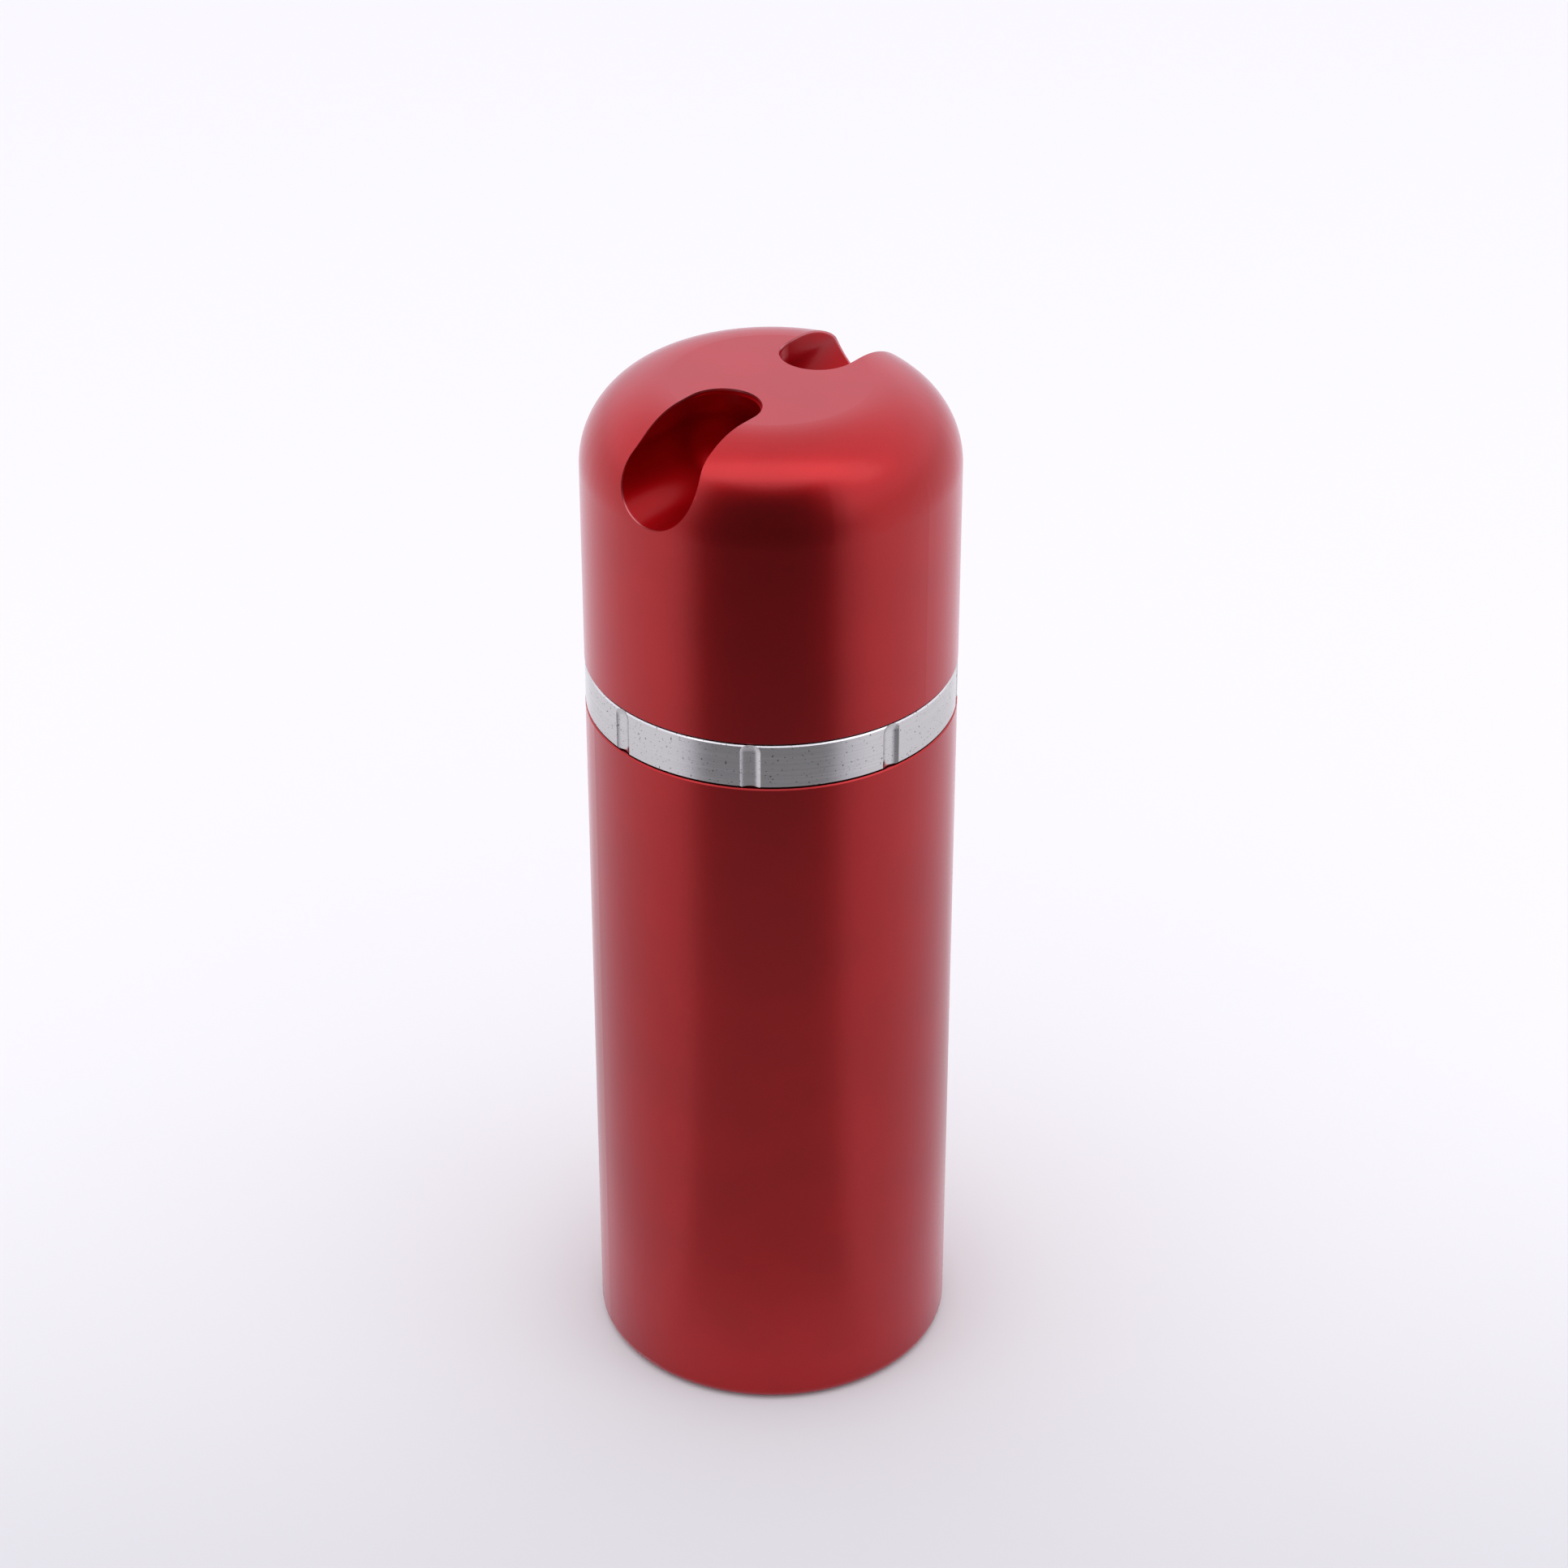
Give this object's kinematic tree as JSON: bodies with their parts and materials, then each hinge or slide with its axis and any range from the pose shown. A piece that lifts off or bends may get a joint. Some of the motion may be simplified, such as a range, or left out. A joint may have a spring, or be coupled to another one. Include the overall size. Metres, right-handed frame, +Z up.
{
  "type": "screw-top pocket canister",
  "caption": "Slim round metal canister with a dome-shouldered screw cap, a pair of opposed radial slots in its top, and a plain fluted coupling ring between cap and body.",
  "frame": {"origin": "centre of the round flat base, on the surface the canister stands on", "axes": "+Z up along the canister's axis to the cap's flat top; the cap's two slots open towards -Y and +Y"},
  "size_m": [0.03, 0.03, 0.089],
  "materials": {
    "red_anodised": "fine bead-blasted satin, anodised red",
    "bare_aluminium": "turned satin, clear",
    "seal_rubber": "smooth black nitrile",
    "liner_rubber": "matt closed-cell foam"
  },
  "bodies": {
    "lower_body": {"lower_shell": "red_anodised", "base_liner": "liner_rubber"},
    "body_seal": {"body_o_ring": "seal_rubber"},
    "coupling": {"coupling_ring": "bare_aluminium", "cap_o_ring": "seal_rubber"},
    "cap_lining": {"cap_liner": "liner_rubber"},
    "cap": {"cap_shell": "red_anodised"}
  },
  "joints": [
    {"name": "ring_rise", "type": "slide", "parent": "lower_body", "child": "body_seal", "axis": [0, 0, 1], "range_m": [0, 0.01052]},
    {"name": "ring_turn", "type": "hinge", "parent": "body_seal", "child": "coupling", "pos_m": [0, 0, 0.063], "axis": [0, 0, 1], "range_deg": [0, 2520]},
    {"name": "cap_rise", "type": "slide", "parent": "coupling", "child": "cap_lining", "axis": [0, 0, 1], "range_m": [0, 0.01052]},
    {"name": "cap_turn", "type": "hinge", "parent": "cap_lining", "child": "cap", "pos_m": [0, 0, 0.077], "axis": [0, 0, 1], "range_deg": [0, 2520]}
  ],
  "couplings": [
    {"joint": "ring_rise", "follows": "ring_turn", "m_per_rad": 0.00023873},
    {"joint": "cap_rise", "follows": "cap_turn", "m_per_rad": 0.00023873}
  ]
}
